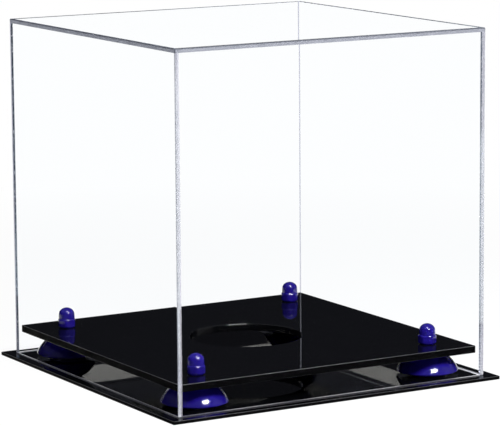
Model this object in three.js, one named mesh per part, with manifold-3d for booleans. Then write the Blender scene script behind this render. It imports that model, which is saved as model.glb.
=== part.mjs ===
import * as THREE from 'three';
import { mergeVertices } from 'three/addons/utils/BufferGeometryUtils.js';
import Module from 'manifold-3d';

// A display case for a bowling ball: a clear bonded cover over a black two-tier stand.
// Millimetres, +Z up, -Y the front. The origin is the middle of the base plate's underside.

// The clear cover, five sheets bonded edge to face
const COVER_WIDTH = 254;
const COVER_DEPTH = 254;
const COVER_HEIGHT = 254;
const SHEET_THICKNESS = 3.1;
const SHEET_EDGE_EASE = 0.35;

// The base plate, which shows as a margin around the cover
const BASE_MARGIN = 8.5;
const BASE_THICKNESS = 2.5;
const BASE_CORNER_RADIUS = 0.3;
const BASE_EDGE_EASE = 0.3;

// The raised platform, which fills the cover's inside with some play and so locates it
const PLATFORM_PLAY = 1.65;
const PLATFORM_THICKNESS = 5.3;
const PLATFORM_CORNER_RADIUS = 0.3;
const PLATFORM_EDGE_EASE = 0.4;
const SEAT_DIAMETER = 84;
const SEAT_EDGE_EASE = 0.6;

// The domed risers between the two plates, each the cap of a sphere with a brim over its foot
const RISER_DIAMETER = 45.6;
const RISER_HEIGHT = 16.5;
const RISER_TOP_DIAMETER = 18.5;
const RISER_BRIM_HEIGHT = 3;
const RISER_BRIM_EASE = 0.7;
const RISER_FOOT_DIAMETER = 28;
const RISER_SETBACK = 2.6;

// The flat-head screws that come up through the base
const SCREW_DIAMETER = 8;
const SCREW_HEAD_DIAMETER = 16;
const SCREW_HEAD_RIM = 0.4;
const SCREW_HEAD_CONE = 4;
const SCREW_HEAD_SINK = 0.2;
const SCREW_TIP_BEVEL = 1;
const SOCKET_ACROSS_FLATS = 5;
const SOCKET_DEPTH = 2.4;

// The cap nuts, whose walls are measured outwards from the bore
const NUT_FLAT_WALL = 2.2;
const NUT_DOME_FOOT_WALL = 1.5;
const NUT_DOME_SIDE_WALL = 1;
const NUT_FOOT_BEVEL = 0.3;
const NUT_HEX_HEIGHT = 7.1;
const NUT_HEIGHT = 15;
const NUT_CROWN_HEIGHT = 5;
const NUT_CROWN_WALL = 4;

// Clearances, and how far a cutting tool runs past what it cuts
const HOLE_PLAY = 0.4;
const SEAT_GAP = 0.3;
const TIP_PLAY = 0.6;
const CUT_OVERRUN = 1;

// How the cap nuts stood when they came tight, as the turn of one corner from +X in degrees
const NUT_TURNS = { front_left: 10, front_right: 30, back_left: 0, back_right: 47 };

// Facets
const RISER_SIDES = 36;
const RISER_BRIM_STEPS = 3;
const RISER_DOME_STEPS = 8;
const SCREW_SIDES = 24;
const NUT_SIDES = 30;
const NUT_CROWN_STEPS = 6;
const SEAT_SIDES = 60;
const CORNER_STEPS = 2;

// Sizes and places that follow from the values above
const coverInnerWidth = COVER_WIDTH - 2 * SHEET_THICKNESS;
const coverInnerDepth = COVER_DEPTH - 2 * SHEET_THICKNESS;
const wallHeight = COVER_HEIGHT - SHEET_THICKNESS;
const platformWidth = coverInnerWidth - 2 * PLATFORM_PLAY;
const platformDepth = coverInnerDepth - 2 * PLATFORM_PLAY;
const platformUnderside = BASE_THICKNESS + RISER_HEIGHT;
const platformTop = platformUnderside + PLATFORM_THICKNESS;
const riserRadius = RISER_DIAMETER / 2;
const fixingX = platformWidth / 2 - RISER_SETBACK - riserRadius;
const fixingY = platformDepth / 2 - RISER_SETBACK - riserRadius;
const screwRadius = SCREW_DIAMETER / 2;
const holeRadius = screwRadius + HOLE_PLAY;
const headRadius = SCREW_HEAD_DIAMETER / 2;
const headConeFoot = SCREW_HEAD_SINK + SCREW_HEAD_RIM;
const nutBoreRadius = screwRadius + SEAT_GAP;
const nutBoreDepth = NUT_HEIGHT - NUT_CROWN_WALL;
const screwTip = platformTop + nutBoreDepth - TIP_PLAY;

const CORNERS = [
  { name: 'front_left', x: -fixingX, y: -fixingY },
  { name: 'front_right', x: fixingX, y: -fixingY },
  { name: 'back_left', x: -fixingX, y: fixingY },
  { name: 'back_right', x: fixingX, y: fixingY },
];

const CLEAR_ACRYLIC = { color: 0xeef3f6, roughness: 0.03, metalness: 0, transparent: true, opacity: 0.25 };
const BLACK_ACRYLIC = { color: 0x08080a, roughness: 0.05, metalness: 0 };
const BLUE_PLASTIC = { color: 0x2a1c9c, roughness: 0.15, metalness: 0 };
const ZINC_STEEL = { color: 0xb9bcc0, roughness: 0.3, metalness: 1 };

const wasm = await Module();
wasm.setup();

// A closed geometry as a solid that can be joined and cut
function solidOf(geometry) {
  const bare = geometry.clone();
  bare.deleteAttribute('normal');
  bare.deleteAttribute('uv');
  const closed = mergeVertices(bare);
  return new wasm.Manifold(new wasm.Mesh({
    numProp: 3,
    vertProperties: new Float32Array(closed.attributes.position.array),
    triVerts: new Uint32Array(closed.index.array),
  }));
}

// A joined or cut solid as a geometry again
function geometryOf(solid) {
  const { vertProperties, triVerts } = solid.getMesh();
  const geometry = new THREE.BufferGeometry();
  geometry.setAttribute('position', new THREE.BufferAttribute(vertProperties, 3));
  geometry.setIndex(new THREE.BufferAttribute(triVerts, 1));
  geometry.computeVertexNormals();
  return geometry;
}

// A profile of [radius, height] pairs from the axis back to the axis, turned about Z
function turned(profile, sides) {
  const points = profile.map(([radius, height]) => new THREE.Vector2(radius, height));
  return solidOf(new THREE.LatheGeometry(points, sides).rotateX(Math.PI / 2));
}

// The [radius, height] pairs along an elliptic arc
function arc(radius, height, radiusReach, heightReach, from, to, steps) {
  const curve = new THREE.EllipseCurve(radius, height, radiusReach, heightReach, from, to);
  return curve.getPoints(steps).map((point) => [point.x, point.y]);
}

// A hexagonal prism with a corner on +X
function hexPrism(flatRadius, bottom, height) {
  const cornerRadius = flatRadius / Math.cos(Math.PI / 6);
  const prism = new THREE.CylinderGeometry(cornerRadius, cornerRadius, height, 6);
  return solidOf(prism.rotateX(Math.PI / 2).rotateZ(Math.PI / 6).translate(0, 0, bottom + height / 2));
}

function box(width, depth, height, x, y, z) {
  return solidOf(new THREE.BoxGeometry(width, depth, height).translate(x, y, z));
}

// A plate on z = 0 with rounded corners and eased edges
function plate(width, depth, thickness, cornerRadius, ease) {
  const right = width / 2 - ease - cornerRadius;
  const back = depth / 2 - ease - cornerRadius;
  const outline = new THREE.Shape();
  outline.absarc(right, back, cornerRadius, 0, 0.5 * Math.PI);
  outline.absarc(-right, back, cornerRadius, 0.5 * Math.PI, Math.PI);
  outline.absarc(-right, -back, cornerRadius, Math.PI, 1.5 * Math.PI);
  outline.absarc(right, -back, cornerRadius, 1.5 * Math.PI, 2 * Math.PI);
  const geometry = new THREE.ExtrudeGeometry(outline, {
    depth: thickness - 2 * ease,
    bevelThickness: ease,
    bevelSize: ease,
    bevelSegments: 1,
    curveSegments: CORNER_STEPS,
  });
  return solidOf(geometry.translate(0, 0, ease));
}

// The hole for one screw: its countersink from below, then a plain bore past the platform
function screwHole() {
  const sinkRadius = headRadius + SEAT_GAP;
  const sinkTop = headConeFoot + (sinkRadius - holeRadius) * SCREW_HEAD_CONE / (headRadius - screwRadius);
  return turned([
    [0, -CUT_OVERRUN],
    [sinkRadius, -CUT_OVERRUN],
    [sinkRadius, headConeFoot],
    [holeRadius, sinkTop],
    [holeRadius, platformTop + CUT_OVERRUN],
    [0, platformTop + CUT_OVERRUN],
  ], SCREW_SIDES);
}

// The round hole that the ball sits in, opening out at both faces
function seatHole() {
  const radius = SEAT_DIAMETER / 2;
  const mouth = radius + SEAT_EDGE_EASE + CUT_OVERRUN;
  const beyond = PLATFORM_THICKNESS + CUT_OVERRUN;
  return turned([
    [0, -CUT_OVERRUN],
    [mouth, -CUT_OVERRUN],
    [radius, SEAT_EDGE_EASE],
    [radius, PLATFORM_THICKNESS - SEAT_EDGE_EASE],
    [mouth, beyond],
    [0, beyond],
  ], SEAT_SIDES);
}

function basePlate() {
  const width = COVER_WIDTH + 2 * BASE_MARGIN;
  const depth = COVER_DEPTH + 2 * BASE_MARGIN;
  let body = plate(width, depth, BASE_THICKNESS, BASE_CORNER_RADIUS, BASE_EDGE_EASE);
  for (const corner of CORNERS) {
    body = body.subtract(screwHole().translate([corner.x, corner.y, 0]));
  }
  return body;
}

function platformPlate() {
  const thickness = PLATFORM_THICKNESS;
  let body = plate(platformWidth, platformDepth, thickness, PLATFORM_CORNER_RADIUS, PLATFORM_EDGE_EASE);
  body = body.subtract(seatHole());
  for (const corner of CORNERS) {
    body = body.subtract(screwHole().translate([corner.x, corner.y, -platformUnderside]));
  }
  return body;
}

// A sphere through the brim and the rim of the flat top, undercut to the foot
function riser() {
  const foot = RISER_FOOT_DIAMETER / 2;
  const top = RISER_TOP_DIAMETER / 2;
  const rise = RISER_HEIGHT - RISER_BRIM_HEIGHT;
  const centreDrop = (riserRadius ** 2 - top ** 2 - rise ** 2) / (2 * rise);
  const reach = Math.hypot(riserRadius, centreDrop);
  const from = Math.asin(centreDrop / reach);
  const to = Math.acos(top / reach);
  const ease = RISER_BRIM_EASE;
  const brim = arc(riserRadius - ease, RISER_BRIM_HEIGHT, ease, ease, -Math.PI / 2, 0, RISER_BRIM_STEPS);
  const dome = arc(0, RISER_BRIM_HEIGHT - centreDrop, reach, reach, from, to, RISER_DOME_STEPS);
  const body = turned([
    [0, 0],
    [foot, 0],
    [foot, RISER_BRIM_HEIGHT - ease],
    ...brim,
    ...dome.slice(1),
    [0, RISER_HEIGHT],
  ], RISER_SIDES);
  return body.subtract(screwHole().translate([0, 0, -BASE_THICKNESS]));
}

// The hexagon with its corners turned off at both ends, the dome, and the blind bore
function capNut() {
  const flatRadius = nutBoreRadius + NUT_FLAT_WALL;
  const beyondCorner = flatRadius / Math.cos(Math.PI / 6) + CUT_OVERRUN;
  const footRadius = flatRadius - NUT_FOOT_BEVEL;
  const domeFoot = nutBoreRadius + NUT_DOME_FOOT_WALL;
  const domeSide = nutBoreRadius + NUT_DOME_SIDE_WALL;
  const crownFoot = NUT_HEIGHT - NUT_CROWN_HEIGHT;
  const envelope = turned([
    [0, 0],
    [footRadius, 0],
    [beyondCorner, beyondCorner - footRadius],
    [beyondCorner, NUT_HEX_HEIGHT - beyondCorner + domeFoot],
    [domeFoot, NUT_HEX_HEIGHT],
    [0, NUT_HEX_HEIGHT],
  ], NUT_SIDES);
  const dome = turned([
    [0, NUT_HEX_HEIGHT / 2],
    [domeFoot, NUT_HEX_HEIGHT / 2],
    [domeFoot, NUT_HEX_HEIGHT],
    ...arc(0, crownFoot, domeSide, NUT_CROWN_HEIGHT, 0, Math.PI / 2, NUT_CROWN_STEPS).slice(0, -1),
    [0, NUT_HEIGHT],
  ], NUT_SIDES);
  const bore = turned([
    [0, -CUT_OVERRUN],
    [nutBoreRadius, -CUT_OVERRUN],
    [nutBoreRadius, nutBoreDepth],
    [0, nutBoreDepth],
  ], SCREW_SIDES);
  return hexPrism(flatRadius, 0, NUT_HEX_HEIGHT).intersect(envelope).add(dome).subtract(bore);
}

function screw() {
  const body = turned([
    [0, SCREW_HEAD_SINK],
    [headRadius, SCREW_HEAD_SINK],
    [headRadius, headConeFoot],
    [screwRadius, headConeFoot + SCREW_HEAD_CONE],
    [screwRadius, screwTip - SCREW_TIP_BEVEL],
    [screwRadius - SCREW_TIP_BEVEL, screwTip],
    [0, screwTip],
  ], SCREW_SIDES);
  const socketBottom = SCREW_HEAD_SINK - CUT_OVERRUN;
  return body.subtract(hexPrism(SOCKET_ACROSS_FLATS / 2, socketBottom, CUT_OVERRUN + SOCKET_DEPTH));
}

// The five sheets are cut from one eased block, so that they meet flush at every bonded edge
function coverSheets() {
  const block = plate(COVER_WIDTH, COVER_DEPTH, COVER_HEIGHT, SHEET_EDGE_EASE, SHEET_EDGE_EASE);
  const sideX = (coverInnerWidth + SHEET_THICKNESS) / 2;
  const sideY = (coverInnerDepth + SHEET_THICKNESS) / 2;
  const midWall = wallHeight / 2;
  const midTop = wallHeight + SHEET_THICKNESS / 2;
  return {
    cover_top: block.intersect(box(COVER_WIDTH, COVER_DEPTH, SHEET_THICKNESS, 0, 0, midTop)),
    cover_left: block.intersect(box(SHEET_THICKNESS, COVER_DEPTH, wallHeight, -sideX, 0, midWall)),
    cover_right: block.intersect(box(SHEET_THICKNESS, COVER_DEPTH, wallHeight, sideX, 0, midWall)),
    cover_front: block.intersect(box(coverInnerWidth, SHEET_THICKNESS, wallHeight, 0, -sideY, midWall)),
    cover_back: block.intersect(box(coverInnerWidth, SHEET_THICKNESS, wallHeight, 0, sideY, midWall)),
  };
}

function piece(name, solid, material) {
  const mesh = new THREE.Mesh(geometryOf(solid), new THREE.MeshStandardMaterial(material));
  mesh.name = name;
  return mesh;
}

const stand = new THREE.Group();
stand.add(piece('base_plate', basePlate(), BLACK_ACRYLIC));

const platform = piece('platform_plate', platformPlate(), BLACK_ACRYLIC);
platform.position.z = platformUnderside;
stand.add(platform);

for (const corner of CORNERS) {
  const fixing = new THREE.Group();
  fixing.position.set(corner.x, corner.y, 0);

  const dome = piece(`riser_${corner.name}`, riser(), BLUE_PLASTIC);
  dome.position.z = BASE_THICKNESS;

  const nut = piece(`cap_nut_${corner.name}`, capNut(), BLUE_PLASTIC);
  nut.position.z = platformTop;
  nut.rotation.z = THREE.MathUtils.degToRad(NUT_TURNS[corner.name]);

  fixing.add(dome, nut, piece(`screw_${corner.name}`, screw(), ZINC_STEEL));
  stand.add(fixing);
}

const cover = new THREE.Group();
cover.position.z = BASE_THICKNESS;
for (const [name, sheet] of Object.entries(coverSheets())) {
  cover.add(piece(name, sheet, CLEAR_ACRYLIC));
}

const displayCase = new THREE.Group();
displayCase.add(stand, cover);

export default displayCase;
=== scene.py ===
import math

import bmesh
import bpy
from mathutils import Matrix, Vector


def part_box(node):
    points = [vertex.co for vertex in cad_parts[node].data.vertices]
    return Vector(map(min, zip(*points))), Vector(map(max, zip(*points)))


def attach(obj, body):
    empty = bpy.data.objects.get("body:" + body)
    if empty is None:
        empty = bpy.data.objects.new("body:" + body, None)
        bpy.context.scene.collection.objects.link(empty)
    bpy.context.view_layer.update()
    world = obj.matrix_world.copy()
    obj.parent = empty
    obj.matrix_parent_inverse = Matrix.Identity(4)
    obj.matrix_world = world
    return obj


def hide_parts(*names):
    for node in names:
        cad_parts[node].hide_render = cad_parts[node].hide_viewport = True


# Looks for the display case. +Z is up, -Y the front, and z = 0 is the base plate's
# underside. Pieces are made in millimetres, and MM turns them into metres. The camera,
# the stage and the textures are in metres.

MM = 0.001
X, Y, Z = range(3)

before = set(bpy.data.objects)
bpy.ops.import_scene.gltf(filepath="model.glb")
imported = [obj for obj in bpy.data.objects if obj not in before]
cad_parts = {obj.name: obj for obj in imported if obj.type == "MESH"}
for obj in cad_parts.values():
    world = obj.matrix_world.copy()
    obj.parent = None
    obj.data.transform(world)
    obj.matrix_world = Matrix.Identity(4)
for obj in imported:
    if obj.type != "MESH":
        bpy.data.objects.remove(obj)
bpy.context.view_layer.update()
scene = bpy.context.scene


# Sizes

MEASURED_DECIMALS = 3


def box(name):
    """The lowest and highest corners of a node of the frame, in millimetres."""
    return [[round(value / MM, MEASURED_DECIMALS) for value in corner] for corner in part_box(name)]


def span(name, axis):
    low, high = box(name)
    return round(high[axis] - low[axis], MEASURED_DECIMALS)


def lowest(name):
    return box(name)[0][Z]


def highest(name):
    return box(name)[1][Z]


# The clear cover
COVER_SIDE = span("cover_top", X)
COVER_TOP = highest("cover_top")
SHEET = span("cover_top", Z)
SHEET_EASE = 0.8
SHEET_EASE_STEPS = 5
COVER_FOOT_GAP = 0.05

# The two plates
BASE_SIDE = span("base_plate", X)
BASE_THICKNESS = highest("base_plate")
BASE_EASE = 0.3
PLATFORM_SIDE = span("platform_plate", X)
PLATFORM_UNDERSIDE = lowest("platform_plate")
PLATFORM_TOP = highest("platform_plate")
PLATFORM_EASE = 0.4
PLATE_CORNER_RADIUS = 0.6
SEAT_RADIUS = 42.0
SEAT_EASE = 0.6
HOLE_RADIUS = 4.4
HOLE_EASE = 0.15
SINK_RADIUS = 8.3
SINK_RIM_TOP = 0.6
SINK_CONE_TOP = 4.5

# The domed risers
RISER_RADIUS = span("riser_front_left", X) / 2
RISER_HEIGHT = span("riser_front_left", Z)
RISER_TOP_RADIUS = 9.25
RISER_TOP_EASE = 0.25
RISER_BRIM_HEIGHT = 3.0
RISER_BRIM_EASE = 0.7
RISER_FOOT_RADIUS = 14.0

# The cap nuts, measured up from the platform. Softness is how far a crease is rounded.
NUT_FLAT_RADIUS = 6.4
NUT_FOOT_BEVEL = 0.7
NUT_HEX_HEIGHT = 6.7
NUT_DOME_FOOT = 6.1
NUT_DOME_SIDE = 5.95
NUT_CROWN_FOOT = 9.8
NUT_HEIGHT = span("cap_nut_front_left", Z)
NUT_BORE_RADIUS = 4.3
NUT_BORE_DEPTH = 11.0
NUT_SOFTNESS = 0.22
NUT_CORNER_SOFTNESS = 0.85

# How each corner's cap nut stood when it came tight, in degrees
NUT_TURNS = {"front_left": 10, "front_right": 30, "back_left": 0, "back_right": 47}

# The screws. The half groove is a share of the pitch, and the end share one of the socket's mouth.
SCREW_RADIUS = 4.0
SCREW_HEAD_RADIUS = span("screw_front_left", X) / 2
SCREW_HEAD_BOTTOM = lowest("screw_front_left")
SCREW_HEAD_EASE = 0.12
SCREW_RIM_TOP = 0.6
SCREW_CONE_TOP = 4.6
SCREW_NECK = 1.0
SCREW_TIP = highest("screw_front_left")
SCREW_TIP_BEVEL = 1.0
THREAD_PITCH = 1.25
THREAD_DEPTH = 0.62
THREAD_HALF_GROOVE = 0.44
SOCKET_FLAT_RADIUS = 2.5
SOCKET_DEPTH = 2.4
SOCKET_MOUTH_BEVEL = 0.25
SOCKET_END_SHARE = 0.98
SOCKET_POINT = 0.6

# How finely the round forms are divided
EASE_STEPS = 3
CORNER_STEPS = 6
SEAT_SIDES = 160
HOLE_SIDES = 48
RISER_SIDES = 128
RISER_FOOT_STEPS = 4
RISER_BRIM_STEPS = 10
RISER_DOME_STEPS = 44
NUT_SIDES = 144
NUT_HEX_STEPS = 44
NUT_DOME_SHARES = (0.0, 0.06, 0.2, 0.45, 0.7, 0.9)
NUT_CROWN_STEPS = 22
SCREW_SIDES = 48
THREAD_STEP = 0.125
FLOOR_SIDES = 96


# Camera, solved from the edges of the cover and the base plate

CAMERA_TARGET = Vector((0, 0, 0.117045))
CAMERA_AZIMUTH = math.radians(-30.245)
CAMERA_ELEVATION = math.radians(9.278)
CAMERA_ROLL = math.radians(-0.427)
CAMERA_DISTANCE = 2.16196
CAMERA_SENSOR = 36.0
CAMERA_LENS = 211.102
CAMERA_SHIFT = (0.01218, -0.00297)
CAMERA_CLIP = (0.05, 100)


def make_camera():
    az, el, roll = CAMERA_AZIMUTH, CAMERA_ELEVATION, CAMERA_ROLL
    back = Vector((math.sin(az) * math.cos(el), -math.cos(az) * math.cos(el), math.sin(el)))
    right = Vector((math.cos(az), math.sin(az), 0))
    up = back.cross(right)
    turned_right = right * math.cos(roll) + up * math.sin(roll)
    turned_up = up * math.cos(roll) - right * math.sin(roll)
    data = bpy.data.cameras.new("camera")
    data.sensor_width = CAMERA_SENSOR
    data.sensor_fit = "HORIZONTAL"
    data.lens = CAMERA_LENS
    data.shift_x, data.shift_y = CAMERA_SHIFT
    data.clip_start, data.clip_end = CAMERA_CLIP
    camera = bpy.data.objects.new("camera", data)
    scene.collection.objects.link(camera)
    turn = Matrix((turned_right, turned_up, back)).transposed()
    camera.matrix_world = Matrix.Translation(CAMERA_TARGET + back * CAMERA_DISTANCE) @ turn.to_4x4()
    scene.camera = camera


# Node helpers, in which a value is a number, a colour, a vector or another node's output

def new_tree(name):
    material = bpy.data.materials.new(name)
    material.use_nodes = True
    material.node_tree.nodes.clear()
    return material, material.node_tree


def feed(tree, socket, value):
    """Links an output to a socket, or sets the socket's own value. Colours are opaque."""
    if isinstance(value, bpy.types.NodeSocket):
        tree.links.new(value, socket)
    elif socket.type == "RGBA":
        socket.default_value = (*value, 1)
    else:
        socket.default_value = value


def node(tree, kind, values=None, **settings):
    made = tree.nodes.new(kind)
    for key, value in settings.items():
        setattr(made, key, value)
    for key, value in (values or {}).items():
        feed(tree, made.inputs[key], value)
    return made


def math_node(tree, operation, first, second):
    return node(tree, "ShaderNodeMath", {0: first, 1: second}, operation=operation).outputs[0]


def mix_shaders(tree, factor, first, second):
    return node(tree, "ShaderNodeMixShader", {"Fac": factor, 1: first, 2: second}).outputs[0]


def blend_colour(tree, factor, first, second):
    made = node(tree, "ShaderNodeMix", {"Factor": factor, "A": first, "B": second}, data_type="RGBA")
    return made.outputs["Result"]


def spread(tree, value, given, wanted):
    """Turns one range of values into another. Values beyond it stay at its ends."""
    made = node(tree, "ShaderNodeMapRange", {
        "Value": value,
        "From Min": given[0],
        "From Max": given[1],
        "To Min": wanted[0],
        "To Max": wanted[1],
    })
    return made.outputs["Result"]


def noise(tree, scale, detail=2.0, roughness=0.5, stretch=None):
    """A noise texture in object space, its coordinates stretched if asked."""
    source = node(tree, "ShaderNodeTexCoord").outputs["Object"]
    if stretch:
        source = node(tree, "ShaderNodeMapping", {"Vector": source, "Scale": stretch}).outputs["Vector"]
    made = node(tree, "ShaderNodeTexNoise", {
        "Vector": source, "Scale": scale, "Detail": detail, "Roughness": roughness,
    })
    return made.outputs["Fac"]


def bump(tree, height, strength, depth):
    made = node(tree, "ShaderNodeBump", {"Height": height, "Strength": strength, "Distance": depth})
    return made.outputs["Normal"]


def output(tree, shader):
    node(tree, "ShaderNodeOutputMaterial", {"Surface": shader})


def principled(name, tree_values):
    """A material of one Principled shader. tree_values takes the node tree and gives the shader's values."""
    material, tree = new_tree(name)
    output(tree, node(tree, "ShaderNodeBsdfPrincipled", tree_values(tree)).outputs[0])
    return material


# Materials of the cover

ACRYLIC_IOR = 1.49
STEEP_MIRROR_POWER = 14.0
SHEET_TINT = (0.995, 0.998, 1.0)
SHEET_BOUNCE = (0.981, 0.984, 0.985)
SHEET_SHADOW = (0.965, 0.97, 0.975)
BOND_TINT = (0.80, 0.81, 0.85)
BUBBLE_TONE = (0.9, 0.9, 0.92)
BUBBLE_NOISE = (0.66, 0.72)
BUBBLE_SHARES = (0.0, 0.5)

# How high the bumps of fine and of coarser textures stand
FINE_DEPTH = 0.01 * MM
COARSE_DEPTH = 0.02 * MM

# The range in which nearly all the values of a noise lie
NOISE_RANGE = (0.3, 0.7)

# Frosting's two tones, how much of the surface it is, how matt it is and how hazy the rest. The tones are
# painted light: each edge of the same sanded acrylic gets its own lighter or darker tone for how bright it
# should look. The foot is palest, for the light that runs down the sheets and leaves there, and the lid's
# rim and arris are darker.
FROST_TONES_PAINTED_LIGHT = {
    "clear_acrylic_edge": ((0.72, 0.71, 0.77), (0.56, 0.55, 0.63), 0.45, 0.5, 0.12),
    "clear_acrylic_rim": ((0.37, 0.38, 0.43), (0.25, 0.26, 0.30), 0.80, 0.5, 0.12),
    "clear_acrylic_arris": ((0.14, 0.145, 0.17), (0.09, 0.095, 0.12), 0.85, 0.5, 0.12),
    "clear_acrylic_foot": ((0.98, 0.97, 0.99), (0.93, 0.92, 0.95), 0.90, 0.97, 0.20),
}
FROST_UNEVENNESS = 0.1


def sheet_glass(tree, normal, haze):
    """Bends light, and mirrors it at steep angles inside with a little loss. Other glare is left out."""
    bend = node(tree, "ShaderNodeBsdfRefraction", {
        "Color": SHEET_TINT, "Roughness": haze, "IOR": ACRYLIC_IOR, "Normal": normal,
    })
    mirror = node(tree, "ShaderNodeBsdfAnisotropic", {
        "Color": SHEET_BOUNCE, "Roughness": haze, "Normal": normal,
    })
    fresnel = node(tree, "ShaderNodeFresnel", {"IOR": ACRYLIC_IOR, "Normal": normal})
    steep = math_node(tree, "POWER", fresnel.outputs[0], STEEP_MIRROR_POWER)
    return mix_shaders(tree, steep, bend.outputs[0], mirror.outputs[0])


def with_lamp_light(tree, shader):
    """Light to or from a matt surface goes straight through a thin sheet, so that it lights the inside."""
    path = node(tree, "ShaderNodeLightPath")
    passes = math_node(tree, "MAXIMUM", path.outputs["Is Shadow Ray"], path.outputs["Is Diffuse Ray"])
    straight = node(tree, "ShaderNodeBsdfTransparent", {"Color": SHEET_SHADOW})
    return mix_shaders(tree, passes, shader, straight.outputs[0])


def clear_acrylic(name):
    """A polished face of a sheet, with a very slight wave."""
    material, tree = new_tree(name)
    wave = bump(tree, noise(tree, scale=6.0, detail=1.0), strength=1.0, depth=FINE_DEPTH)
    output(tree, with_lamp_light(tree, sheet_glass(tree, wave, haze=0.0)))
    return material


def sanded_acrylic_painted_light(name):
    """A cut edge of a sheet, sanded fine: it glows palely with the light that it catches. Its tones are
    painted light as well, set for each edge by how bright that edge should look.
    """
    pale, grey, frost, mattness, haze = FROST_TONES_PAINTED_LIGHT[name]
    material, tree = new_tree(name)
    grain = noise(tree, scale=900.0, detail=3.0)
    glass = sheet_glass(tree, bump(tree, grain, strength=0.6, depth=COARSE_DEPTH), haze)
    # The tone is painted light: each edge has its own, lighter or darker, for how bright it looks
    tone = blend_colour(tree, noise(tree, scale=90.0, detail=3.0), pale, grey)
    matt = node(tree, "ShaderNodeBsdfDiffuse", {"Color": tone})
    through = node(tree, "ShaderNodeBsdfTranslucent", {"Color": tone})
    frosting = mix_shaders(tree, mattness, through.outputs[0], matt.outputs[0])
    share = spread(tree, grain, NOISE_RANGE, (frost - FROST_UNEVENNESS, frost + FROST_UNEVENNESS))
    output(tree, with_lamp_light(tree, mix_shaders(tree, share, glass, frosting)))
    return material


def bond_line(name):
    """A bonded face inside the acrylic: clear, with a scatter of fine bubbles."""
    material, tree = new_tree(name)
    clear = node(tree, "ShaderNodeBsdfTransparent", {"Color": BOND_TINT})
    pale = node(tree, "ShaderNodeBsdfTranslucent", {"Color": BUBBLE_TONE})
    bubbles = spread(tree, noise(tree, scale=900.0, detail=0.0), BUBBLE_NOISE, BUBBLE_SHARES)
    output(tree, mix_shaders(tree, bubbles, clear.outputs[0], pale.outputs[0]))
    return material


# Materials of the stand, each with the two tones that it varies between

BLACK_TONES = ((0.0014, 0.0015, 0.0019), (0.0022, 0.0023, 0.0028))
BLACK_WIPED_NOISE = (0.35, 0.75)
BLACK_ROUGHNESS = (0.008, 0.03)
SAWN_TONES = ((0.0012, 0.0012, 0.0014), (0.0030, 0.0030, 0.0034))
SAWN_ROUGHNESS = (0.28, 0.42)
SAWN_GLOSS = 0.005
# The scraped edge's tones: paler for the scraper's dulling and as a painted highlight line along the edge
ARRIS_TONES_WITH_PAINTED_HIGHLIGHT = ((0.018, 0.018, 0.02), (0.04, 0.04, 0.044))
ARRIS_ROUGHNESS = 0.35
BLUE_IOR = 1.5
BLUE_TONES = ((0.0085, 0.0044, 0.14), (0.0112, 0.0054, 0.175))
BLUE_ROUGHNESS = (0.09, 0.13)
BLUE_GLOSS = 0.5
BLUE_GLOW = 0.1
BLUE_GLOW_REACH = 1.2 * MM
BLUE_GLOW_RADII = (0.5, 0.4, 1.0)
ZINC_TONES = ((0.52, 0.54, 0.57), (0.68, 0.69, 0.70))
ZINC_ROUGHNESS = (0.2, 0.42)
ZINC_ANISOTROPY = 0.4


def black_acrylic(tree):
    """Cast black sheet with a mirror gloss, faint wiping marks and a very slight surface wave."""
    wiped = noise(tree, scale=60.0, detail=4.0, roughness=0.6, stretch=(1.0, 6.0, 1.0))
    return {
        "IOR": ACRYLIC_IOR,
        "Base Color": blend_colour(tree, noise(tree, scale=40.0, detail=3.0), *BLACK_TONES),
        "Roughness": spread(tree, wiped, BLACK_WIPED_NOISE, BLACK_ROUGHNESS),
        "Normal": bump(tree, noise(tree, scale=9.0, detail=1.0), strength=1.0, depth=COARSE_DEPTH),
    }


def sawn_acrylic(tree):
    """The sawn edge of the black sheet: nearly matt, with fine marks that run down it."""
    marks = noise(tree, scale=700.0, stretch=(1.0, 1.0, 0.05))
    return {
        "IOR": ACRYLIC_IOR,
        "Specular IOR Level": SAWN_GLOSS,
        "Base Color": blend_colour(tree, marks, *SAWN_TONES),
        "Roughness": spread(tree, marks, NOISE_RANGE, SAWN_ROUGHNESS),
        "Normal": bump(tree, marks, strength=0.4, depth=COARSE_DEPTH),
    }


def scraped_acrylic_painted_highlight(tree):
    """The scraped upper edge of the black sheet, paler than the faces: partly where the scraper has dulled
    it, partly a painted highlight along the edge.
    """
    scrapes = noise(tree, scale=500.0, detail=3.0)
    return {
        "IOR": ACRYLIC_IOR,
        "Base Color": blend_colour(tree, scrapes, *ARRIS_TONES_WITH_PAINTED_HIGHLIGHT),
        "Roughness": ARRIS_ROUGHNESS,
        "Normal": bump(tree, scrapes, strength=0.4, depth=COARSE_DEPTH),
    }


def blue_plastic(tree):
    """Moulded plastic with a high gloss: a little deeper and lighter in tone from place to place."""
    return {
        "IOR": BLUE_IOR,
        "Specular IOR Level": BLUE_GLOSS,
        "Subsurface Weight": BLUE_GLOW,
        "Subsurface Radius": BLUE_GLOW_RADII,
        "Subsurface Scale": BLUE_GLOW_REACH,
        "Base Color": blend_colour(tree, noise(tree, scale=120.0, detail=3.0), *BLUE_TONES),
        "Roughness": spread(tree, noise(tree, scale=300.0, detail=3.0), NOISE_RANGE, BLUE_ROUGHNESS),
        "Normal": bump(tree, noise(tree, scale=450.0, detail=1.0), strength=0.5, depth=FINE_DEPTH),
    }


def zinc_steel(tree):
    """Bright zinc plating over turned steel, with fine lathe marks and slight clouding."""
    marks = noise(tree, scale=500.0, detail=3.0, stretch=(1.0, 1.0, 12.0))
    return {
        "Metallic": 1.0,
        "Anisotropic": ZINC_ANISOTROPY,
        "Base Color": blend_colour(tree, noise(tree, scale=260.0, detail=4.0), *ZINC_TONES),
        "Roughness": spread(tree, marks, NOISE_RANGE, ZINC_ROUGHNESS),
        "Normal": bump(tree, marks, strength=0.4, depth=FINE_DEPTH),
    }


# Mesh helpers

SHARP_ANGLE = math.radians(35)
SHARP_SHEET_ANGLE = math.radians(10)
FACE_WEIGHT = 100


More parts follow.
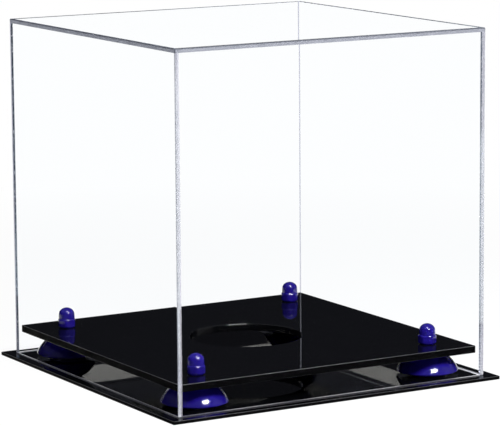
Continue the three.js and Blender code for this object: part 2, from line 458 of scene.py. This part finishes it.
def finish_piece(cad_node, bm, materials, body, sharp=SHARP_ANGLE):
    """Turns a mesh in millimetres into the piece that takes the place of one node of the frame."""
    bmesh.ops.scale(bm, vec=(MM, MM, MM), verts=bm.verts)
    bmesh.ops.recalc_face_normals(bm, faces=bm.faces)
    mesh = bpy.data.meshes.new(f"{cad_node}_looks")
    bm.to_mesh(mesh)
    bm.free()
    for material in materials:
        mesh.materials.append(material)
    mesh.polygons.foreach_set("use_smooth", [True] * len(mesh.polygons))
    mesh.set_sharp_from_angle(angle=sharp)
    made = bpy.data.objects.new(f"{cad_node}_looks", mesh)
    scene.collection.objects.link(made)
    weighted = made.modifiers.new("face_weights", "WEIGHTED_NORMAL")
    weighted.keep_sharp = True
    weighted.weight = FACE_WEIGHT
    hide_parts(cad_node)
    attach(made, body)


def level_ring(bm, points, z):
    return [bm.verts.new((x, y, z)) for x, y in points]


def polar_ring(bm, centre, z, sides, radius):
    """A level ring of vertices about a centre. The radius is a length, or a function of the angle."""
    points = []
    for i in range(sides):
        angle = 2 * math.pi * i / sides
        reach = radius(angle) if callable(radius) else radius
        points.append((centre[X] + reach * math.cos(angle), centre[Y] + reach * math.sin(angle)))
    return level_ring(bm, points, z)


def ring_edges(bm, loop):
    return [bm.edges.get((loop[i], loop[(i + 1) % len(loop)])) for i in range(len(loop))]


def strip(bm, low, high):
    count = len(low)
    for i in range(count):
        j = (i + 1) % count
        bm.faces.new((low[i], low[j], high[j], high[i]))


def skin(bm, rings, inward=False):
    """Faces from each ring to the next."""
    for low, high in zip(rings, rings[1:]):
        if inward:
            strip(bm, high, low)
        else:
            strip(bm, low, high)


def cap(bm, loop, centre):
    middle = bm.verts.new(centre)
    for i, vertex in enumerate(loop):
        bm.faces.new((vertex, loop[(i + 1) % len(loop)], middle))


def quarter(steps):
    return [math.pi / 2 * i / steps for i in range(steps + 1)]


def arc(radius, height, reach_r, reach_z, start, end, steps):
    """Points on an ellipse about (radius, height) from one angle to another."""
    return [
        (radius + reach_r * math.cos(start + (end - start) * i / steps),
         height + reach_z * math.sin(start + (end - start) * i / steps))
        for i in range(steps + 1)
    ]


def eased_wall(bottom, top, ease):
    """An upright wall with rounded edges: how far each point is set back, and its height."""
    edge = [(ease * (1 - math.sin(a)), ease * (1 - math.cos(a))) for a in quarter(EASE_STEPS)]
    low = [(back, bottom + rise) for back, rise in edge]
    high = [(back, top - rise) for back, rise in reversed(edge)]
    return low + high


def eased_hole(radius, bottom, top, ease):
    """A plain hole with rounded mouths, as (radius, z) points."""
    return [(radius + back, z) for back, z in eased_wall(bottom, top, ease)]


def round_outline(side, radius, steps):
    """The points of a square with rounded corners, anticlockwise."""
    reach = side / 2 - radius
    points = []
    for turn, (sx, sy) in enumerate(((1, 1), (-1, 1), (-1, -1), (1, -1))):
        for angle in quarter(steps):
            a = angle + turn * math.pi / 2
            points.append((sx * reach + radius * math.cos(a), sy * reach + radius * math.sin(a)))
    return points


def turned(bm, centre, profile, sides):
    """Turns a closed profile of (radius, z) points about the upright axis at a centre."""
    rings = [polar_ring(bm, centre, z, sides, radius) for radius, z in profile]
    skin(bm, rings)
    strip(bm, rings[-1], rings[0])


# The stand

# Places of the materials in a plate's list, after that of its polished faces
PLATE_SAWN, PLATE_SCRAPED_AND_HIGHLIT = 1, 2


def plate(cad_node, side, bottom, top, ease, holes, materials):
    """A plate with sawn sides, scraped upper edges whose paler tone is partly a painted highlight, and
    turned holes.

    Each hole is its centre, its number of sides and its (radius, z) points.
    """
    bm = bmesh.new()
    rings = [
        level_ring(bm, round_outline(side - 2 * inset, PLATE_CORNER_RADIUS, CORNER_STEPS), z)
        for inset, z in eased_wall(bottom, top, ease)
    ]
    skin(bm, rings)
    for face in bm.faces:
        height = face.calc_center_median().z
        if height > top - ease:
            face.material_index = PLATE_SCRAPED_AND_HIGHLIT
        elif height > bottom + ease:
            face.material_index = PLATE_SAWN
    bottoms, tops = ring_edges(bm, rings[0]), ring_edges(bm, rings[-1])
    for centre, sides, profile in holes:
        walls = [polar_ring(bm, centre, z, sides, radius) for radius, z in profile]
        skin(bm, walls, inward=True)
        bottoms += ring_edges(bm, walls[0])
        tops += ring_edges(bm, walls[-1])
    bmesh.ops.triangle_fill(bm, use_beauty=True, edges=bottoms, normal=(0, 0, -1))
    bmesh.ops.triangle_fill(bm, use_beauty=True, edges=tops, normal=(0, 0, 1))
    finish_piece(cad_node, bm, materials, "stand")


def make_plates(centres, materials):
    sink_slope = (SINK_RADIUS - HOLE_RADIUS) / (SINK_CONE_TOP - SINK_RIM_TOP)
    radius_at_top = SINK_RADIUS - (BASE_THICKNESS - SINK_RIM_TOP) * sink_slope
    sink = [(SINK_RADIUS, 0.0), (SINK_RADIUS, SINK_RIM_TOP), (radius_at_top, BASE_THICKNESS)]
    bore = eased_hole(HOLE_RADIUS, PLATFORM_UNDERSIDE, PLATFORM_TOP, HOLE_EASE)
    seat = eased_hole(SEAT_RADIUS, PLATFORM_UNDERSIDE, PLATFORM_TOP, SEAT_EASE)
    base_holes = [(centre, HOLE_SIDES, sink) for centre in centres]
    platform_holes = [(centre, HOLE_SIDES, bore) for centre in centres]
    platform_holes.append(((0.0, 0.0), SEAT_SIDES, seat))
    plate("base_plate", BASE_SIDE, 0.0, BASE_THICKNESS, BASE_EASE, base_holes, materials)
    plate("platform_plate", PLATFORM_SIDE, PLATFORM_UNDERSIDE, PLATFORM_TOP, PLATFORM_EASE,
          platform_holes, materials)


def riser(corner, centre, material):
    """The cap of a sphere, cut flat on top, with a brim over a narrower foot."""
    rise = RISER_HEIGHT - RISER_BRIM_HEIGHT
    centre_drop = (RISER_RADIUS ** 2 - RISER_TOP_RADIUS ** 2 - rise ** 2) / (2 * rise)
    reach = math.hypot(RISER_RADIUS, centre_drop)
    ease = RISER_BRIM_EASE
    foot = arc(RISER_FOOT_RADIUS + ease, RISER_BRIM_HEIGHT - 2 * ease, ease, ease,
               math.pi, math.pi / 2, RISER_FOOT_STEPS)
    brim = arc(RISER_RADIUS - ease, RISER_BRIM_HEIGHT, ease, ease, -math.pi / 2, 0, RISER_BRIM_STEPS)
    dome_end = math.acos((RISER_TOP_RADIUS + RISER_TOP_EASE) / reach)
    dome = arc(0, RISER_BRIM_HEIGHT - centre_drop, reach, reach,
               math.asin(centre_drop / reach), dome_end, RISER_DOME_STEPS)
    profile = [(HOLE_RADIUS, RISER_HEIGHT), (HOLE_RADIUS, 0.0), (RISER_FOOT_RADIUS, 0.0)]
    profile += foot + brim + dome[1:] + [(RISER_TOP_RADIUS - RISER_TOP_EASE, RISER_HEIGHT)]
    bm = bmesh.new()
    turned(bm, centre, [(r, z + BASE_THICKNESS) for r, z in profile], RISER_SIDES)
    finish_piece(f"riser_{corner}", bm, [material], "stand")


def soft_least(first, second, softness):
    """The lower of two values, with the crease between them rounded."""
    gap = abs(first - second) / softness
    return min(first, second) - softness * math.log1p(math.exp(-gap))


def hexagon_radius(angle, flat_radius, corner_turn=0.0, softness=0.0):
    """How far out the hexagon reaches at an angle, when one corner lies at corner_turn."""
    sector = math.pi / 3
    off_flat = abs((angle - corner_turn) % sector - sector / 2)
    nearest = flat_radius / math.cos(off_flat)
    if not softness:
        return nearest
    return soft_least(nearest, flat_radius / math.cos(sector - off_flat), softness)


def cap_nut(corner, centre, turn, material):
    """The hexagon with its corners turned off, run into the tapered dome, and the blind bore."""
    bm = bmesh.new()
    corner_turn = math.radians(turn)

    def level(z, radius):
        return polar_ring(bm, centre, PLATFORM_TOP + z, NUT_SIDES, radius)

    def hex_level(z):
        foot_cone = NUT_FLAT_RADIUS - NUT_FOOT_BEVEL + z
        head_cone = NUT_DOME_FOOT + NUT_HEX_HEIGHT - z

        def radius_at(angle):
            body = hexagon_radius(angle, NUT_FLAT_RADIUS, corner_turn, NUT_CORNER_SOFTNESS)
            return soft_least(body, min(foot_cone, head_cone), NUT_SOFTNESS)
        return level(z, radius_at)

    rings = [level(0.0, NUT_BORE_RADIUS)]
    rings += [hex_level(NUT_HEX_HEIGHT * i / NUT_HEX_STEPS) for i in range(NUT_HEX_STEPS)]
    side = [
        (NUT_DOME_FOOT + (NUT_DOME_SIDE - NUT_DOME_FOOT) * share,
         NUT_HEX_HEIGHT + (NUT_CROWN_FOOT - NUT_HEX_HEIGHT) * share)
        for share in NUT_DOME_SHARES
    ]
    crown_height = NUT_HEIGHT - NUT_CROWN_FOOT
    crown = arc(0, NUT_CROWN_FOOT, NUT_DOME_SIDE, crown_height, 0, math.pi / 2, NUT_CROWN_STEPS)
    rings += [level(z, radius) for radius, z in side + crown[:-1]]
    skin(bm, rings)
    cap(bm, rings[-1], (*centre, PLATFORM_TOP + NUT_HEIGHT))
    bore = [rings[0]] + [level(z, NUT_BORE_RADIUS) for z in (NUT_BORE_DEPTH / 2, NUT_BORE_DEPTH)]
    skin(bm, bore, inward=True)
    cap(bm, bore[-1], (*centre, PLATFORM_TOP + NUT_BORE_DEPTH))
    finish_piece(f"cap_nut_{corner}", bm, [material], "stand")


def screw(corner, centre, material):
    """A flat-head screw with a hexagon socket and a rolled thread."""
    bm = bmesh.new()
    socket_end = SCREW_HEAD_BOTTOM + SOCKET_DEPTH
    thread_foot = SCREW_CONE_TOP + SCREW_NECK
    thread_end = SCREW_TIP - SCREW_TIP_BEVEL

    def level(z, radius):
        return polar_ring(bm, centre, z, SCREW_SIDES, radius)

    def socket(angle):
        return hexagon_radius(angle, SOCKET_FLAT_RADIUS)

    def thread_level(z):
        fade = min(1.0, max(0.0, (z - thread_foot) / THREAD_PITCH))
        taper = max(0.0, z - thread_end)

        def radius_at(angle):
            phase = (z / THREAD_PITCH - angle / (2 * math.pi)) % 1.0
            groove = max(0.0, 1.0 - abs(phase - 0.5) / THREAD_HALF_GROOVE)
            return SCREW_RADIUS - THREAD_DEPTH * fade * groove - taper
        return level(z, radius_at)

    rings = [
        level(socket_end, lambda a: socket(a) * SOCKET_END_SHARE),
        level(SCREW_HEAD_BOTTOM + SOCKET_MOUTH_BEVEL, socket),
        level(SCREW_HEAD_BOTTOM, lambda a: socket(a) + SOCKET_MOUTH_BEVEL),
        level(SCREW_HEAD_BOTTOM, SCREW_HEAD_RADIUS - SCREW_HEAD_EASE),
        level(SCREW_HEAD_BOTTOM + SCREW_HEAD_EASE, SCREW_HEAD_RADIUS),
        level(SCREW_RIM_TOP, SCREW_HEAD_RADIUS),
        level(SCREW_CONE_TOP, SCREW_RADIUS),
        level(thread_foot, SCREW_RADIUS),
    ]
    length = SCREW_TIP - thread_foot
    steps = round(length / THREAD_STEP)
    rings += [thread_level(thread_foot + length * i / steps) for i in range(1, steps + 1)]
    skin(bm, rings)
    cap(bm, rings[0], (*centre, socket_end + SOCKET_POINT))
    cap(bm, rings[-1], (*centre, SCREW_TIP))
    finish_piece(f"screw_{corner}", bm, [material], "stand")


def fixing_centre(corner):
    """The axis of one corner's riser, cap nut and screw."""
    low, high = box(f"riser_{corner}")
    return tuple(round((low[axis] + high[axis]) / 2, MEASURED_DECIMALS) for axis in (X, Y))


def make_stand(plate_materials, blue, zinc):
    centres = {corner: fixing_centre(corner) for corner in NUT_TURNS}
    make_plates(centres.values(), plate_materials)
    for corner, centre in centres.items():
        riser(corner, centre, blue)
        cap_nut(corner, centre, NUT_TURNS[corner], blue)
        screw(corner, centre, zinc)


# The cover

OUT = COVER_SIDE / 2
IN = OUT - SHEET
WALL_TOP = COVER_TOP - SHEET
WALL_FOOT = BASE_THICKNESS + COVER_FOOT_GAP

# Two places this close are the same
NEAR = 0.001

# A face looks along an axis when its normal reaches this far along it
FACING = 0.5

# Places of the materials in a sheet's list, after that of its polished faces
EDGE, BOND, FOOT, LID_ARRIS = range(1, 5)


def slab(xs, ys, zs):
    """A closed box whose faces are cut at every listed coordinate."""
    bm = bmesh.new()
    corners = {}

    def vertex(x, y, z):
        if (x, y, z) not in corners:
            corners[(x, y, z)] = bm.verts.new((x, y, z))
        return corners[(x, y, z)]

    def side(us, vs, place):
        for u0, u1 in zip(us, us[1:]):
            for v0, v1 in zip(vs, vs[1:]):
                bm.faces.new([vertex(*place(u, v)) for u, v in ((u0, v0), (u1, v0), (u1, v1), (u0, v1))])

    for x in (xs[0], xs[-1]):
        side(ys, zs, lambda u, v, x=x: (x, u, v))
    for y in (ys[0], ys[-1]):
        side(xs, zs, lambda u, v, y=y: (u, y, v))
    for z in (zs[0], zs[-1]):
        side(xs, ys, lambda u, v, z=z: (u, v, z))
    bmesh.ops.recalc_face_normals(bm, faces=bm.faces)
    return bm


def on_cover_edge(edge):
    """True on the cover's outer edges, which are eased, and not on those bonded flush."""
    def outer(point):
        return [
            abs(abs(point.x) - OUT) < NEAR,
            abs(abs(point.y) - OUT) < NEAR,
            abs(point.z - COVER_TOP) < NEAR or abs(point.z - WALL_FOOT) < NEAR,
        ]
    first, second = (outer(v.co) for v in edge.verts)
    return sum(a and b for a, b in zip(first, second)) >= 2


def cover_sheet(cad_node, xs, ys, zs, bonded, cut, materials, eased_as=EDGE):
    """One sheet of the cover.

    bonded and cut take a face's middle and normal, and say whether it is glued or a sawn edge.
    eased_as is the place in materials of what the sheet's eased edges are made of.
    """
    bm = slab(xs, ys, zs)
    for face in bm.faces:
        middle, normal = face.calc_center_median(), face.normal
        if bonded(middle, normal):
            face.material_index = BOND
        elif normal.z < -FACING and middle.z < WALL_FOOT + NEAR:
            face.material_index = FOOT
        elif cut(middle, normal):
            face.material_index = EDGE
    bmesh.ops.bevel(
        bm,
        geom=[edge for edge in bm.edges if on_cover_edge(edge)],
        offset=SHEET_EASE,
        segments=SHEET_EASE_STEPS,
        profile=0.5,
        affect="EDGES",
        clamp_overlap=True,
        material=eased_as,
    )
    finish_piece(cad_node, bm, materials, "cover", SHARP_SHEET_ANGLE)


def side_bond(middle, normal):
    glued_top = normal.z > FACING
    glued_side = abs(normal.x) > FACING and abs(middle.x) < OUT - NEAR and abs(middle.y) > IN
    return glued_top or glued_side


def side_cut(_middle, normal):
    return abs(normal.y) > FACING


def end_bond(_middle, normal):
    return normal.z > FACING or abs(normal.x) > FACING


def end_cut(_middle, _normal):
    return False


def lid_bond(middle, normal):
    return normal.z < -FACING and max(abs(middle.x), abs(middle.y)) > IN


def lid_cut(_middle, normal):
    return abs(normal.z) < FACING


def make_cover(face, edge, rim, arris, bond, foot):
    """The left and right sheets reach over the ends of the front and back, and the lid lies on all four."""
    materials = [face, edge, bond, foot]
    lid_materials = [face, rim, bond, foot, arris]
    walls = [WALL_FOOT, WALL_TOP]
    lid = [WALL_TOP, COVER_TOP]
    across = [-OUT, -IN, IN, OUT]
    cover_sheet("cover_left", [-OUT, -IN], across, walls, side_bond, side_cut, materials)
    cover_sheet("cover_right", [IN, OUT], across, walls, side_bond, side_cut, materials)
    cover_sheet("cover_front", [-IN, IN], [-OUT, -IN], walls, end_bond, end_cut, materials)
    cover_sheet("cover_back", [-IN, IN], [IN, OUT], walls, end_bond, end_cut, materials)
    cover_sheet("cover_top", across, across, lid, lid_bond, lid_cut, lid_materials, LID_ARRIS)


# Stage: a white table in a dim room, under three soft boxes

WHITE = (1.0, 1.0, 1.0)
FLOOR_RADIUS = 40.0
FLOOR_WHITE = (0.85, 0.85, 0.85)
GLOW_REACHES = (0.30, 0.90)
GLOW_SHARES = (0.88, 1.0)
TABLE_WHITE = (0.95, 0.94, 0.90)
TABLE_GLOW = 1.3
TABLE_MIDDLE = (0.45, 0.80, 0.0)
TABLE_EDGE = (0.95, 1.10)
BEYOND_TABLE = (0.10, 0.11, 0.13)
ROOM_BEHIND = (0.013, 0.0135, 0.017)
ROOM_FRONT = (0.05, 0.05, 0.06)
ROOM_FRONT_TURN = (0.3, -0.5)
ROOM_HIGH = (0.24, 0.25, 0.27)
ROOM_HIGH_TURN = (0.3, 0.9)
ROOM_IN_EDGES = (0.30, 0.31, 0.38)
EDGE_MIRRORINGS = 2


def mirrored_over(tree, path, count):
    """1 for rays that have been mirrored more than this many times."""
    return math_node(tree, "GREATER_THAN", path.outputs["Glossy Depth"], count + 0.5)


def straight_rays(tree, path):
    """1 for rays that reach the background from the camera, straight or through clear sheets."""
    seen = math_node(tree, "MAXIMUM", path.outputs["Is Camera Ray"], path.outputs["Is Transmission Ray"])
    unmirrored = math_node(tree, "SUBTRACT", 1.0, mirrored_over(tree, path, 0))
    return math_node(tree, "MULTIPLY", seen, unmirrored)


def floor_material():
    """White in the camera's sight. In mirrors it is a white table that ends in a dimmer room."""
    material, tree = new_tree("floor")
    place = node(tree, "ShaderNodeTexCoord").outputs["Object"]
    path = node(tree, "ShaderNodeLightPath")
    matt = node(tree, "ShaderNodeBsdfDiffuse", {"Color": FLOOR_WHITE})
    glow = node(tree, "ShaderNodeEmission", {"Color": WHITE, "Strength": 1.0})
    reach = node(tree, "ShaderNodeVectorMath", {0: place}, operation="LENGTH").outputs["Value"]
    glow_share = spread(tree, reach, GLOW_REACHES, GLOW_SHARES)
    seen_glow = math_node(tree, "MULTIPLY", glow_share, straight_rays(tree, path))
    plain = mix_shaders(tree, seen_glow, matt.outputs[0], glow.outputs[0])
    off_table = node(tree, "ShaderNodeVectorMath", {0: place, 1: TABLE_MIDDLE}, operation="DISTANCE")
    fade = spread(tree, off_table.outputs["Value"], TABLE_EDGE, (0.0, 1.0))
    table = node(tree, "ShaderNodeEmission", {
        "Color": blend_colour(tree, fade, TABLE_WHITE, BEYOND_TABLE), "Strength": TABLE_GLOW,
    })
    output(tree, mix_shaders(tree, mirrored_over(tree, path, 0), plain, table.outputs[0]))
    return material


def make_floor():
    bm = bmesh.new()
    bm.faces.new(polar_ring(bm, (0, 0), 0.0, FLOOR_SIDES, FLOOR_RADIUS))
    mesh = bpy.data.meshes.new("floor")
    bm.to_mesh(mesh)
    bm.free()
    mesh.materials.append(floor_material())
    floor = bpy.data.objects.new("floor", mesh)
    scene.collection.objects.link(floor)


def background(tree, colour):
    return node(tree, "ShaderNodeBackground", {"Color": colour, "Strength": 1.0}).outputs[0]


def make_room():
    """White in the camera's sight, else a room that is dark behind the table, lighter in front and above."""
    world = bpy.data.worlds.new("room")
    scene.world = world
    world.use_nodes = True
    tree = world.node_tree
    tree.nodes.clear()
    direction = node(tree, "ShaderNodeTexCoord").outputs["Generated"]
    split = node(tree, "ShaderNodeSeparateXYZ", {0: direction})
    front = spread(tree, split.outputs["Y"], ROOM_FRONT_TURN, (0.0, 1.0))
    height = spread(tree, split.outputs["Z"], ROOM_HIGH_TURN, (0.0, 1.0))
    sides = blend_colour(tree, front, ROOM_BEHIND, ROOM_FRONT)
    room = background(tree, blend_colour(tree, height, sides, ROOM_HIGH))
    path = node(tree, "ShaderNodeLightPath")
    in_edges = mirrored_over(tree, path, EDGE_MIRRORINGS)
    unseen = mix_shaders(tree, in_edges, room, background(tree, ROOM_IN_EDGES))
    shown = mix_shaders(tree, straight_rays(tree, path), unseen, background(tree, WHITE))
    node(tree, "ShaderNodeOutputWorld", {"Surface": shown})


LAMP_TARGET = Vector((0, 0, 0.03))

# Each soft box's place, its width and height, and its watts
SOFT_BOXES = {
    "soft_box_front": ((0.08, -0.85, 0.76), (0.36, 0.20), 15.0),
    "soft_box_above": ((-0.15, -0.52, 1.50), (0.36, 0.36), 14.0),
    "soft_box_right": ((1.90, -0.90, 0.80), (2.00, 1.60), 2.5),
}


def make_lights():
    for name, (place, (width, height), power) in SOFT_BOXES.items():
        light = bpy.data.lights.new(name, "AREA")
        light.shape = "RECTANGLE"
        light.size, light.size_y = width, height
        light.energy = power
        lamp = bpy.data.objects.new(name, light)
        scene.collection.objects.link(lamp)
        lamp.location = place
        lamp.rotation_mode = "QUATERNION"
        lamp.rotation_quaternion = (Vector(place) - LAMP_TARGET).to_track_quat("Z", "Y")


def set_light_paths():
    """Long paths, because light runs along the sheets and leaves at their cut edges."""
    cycles = scene.cycles
    cycles.max_bounces = 104
    cycles.glossy_bounces = 96
    cycles.transmission_bounces = 32
    cycles.transparent_max_bounces = 64
    cycles.diffuse_bounces = 4
    cycles.sample_clamp_indirect = 80
    cycles.use_denoising = True


scene.view_settings.view_transform = "Standard"
set_light_paths()
make_camera()
make_room()
make_floor()
make_lights()

make_stand(
    [
        principled("black_acrylic_cast", black_acrylic),
        principled("black_acrylic_edge", sawn_acrylic),
        principled("black_acrylic_arris", scraped_acrylic_painted_highlight),
    ],
    principled("blue_plastic_moulded", blue_plastic),
    principled("zinc_plated_steel", zinc_steel),
)
make_cover(
    clear_acrylic("clear_acrylic_face"),
    sanded_acrylic_painted_light("clear_acrylic_edge"),
    sanded_acrylic_painted_light("clear_acrylic_rim"),
    sanded_acrylic_painted_light("clear_acrylic_arris"),
    bond_line("clear_acrylic_bond"),
    sanded_acrylic_painted_light("clear_acrylic_foot"),
)
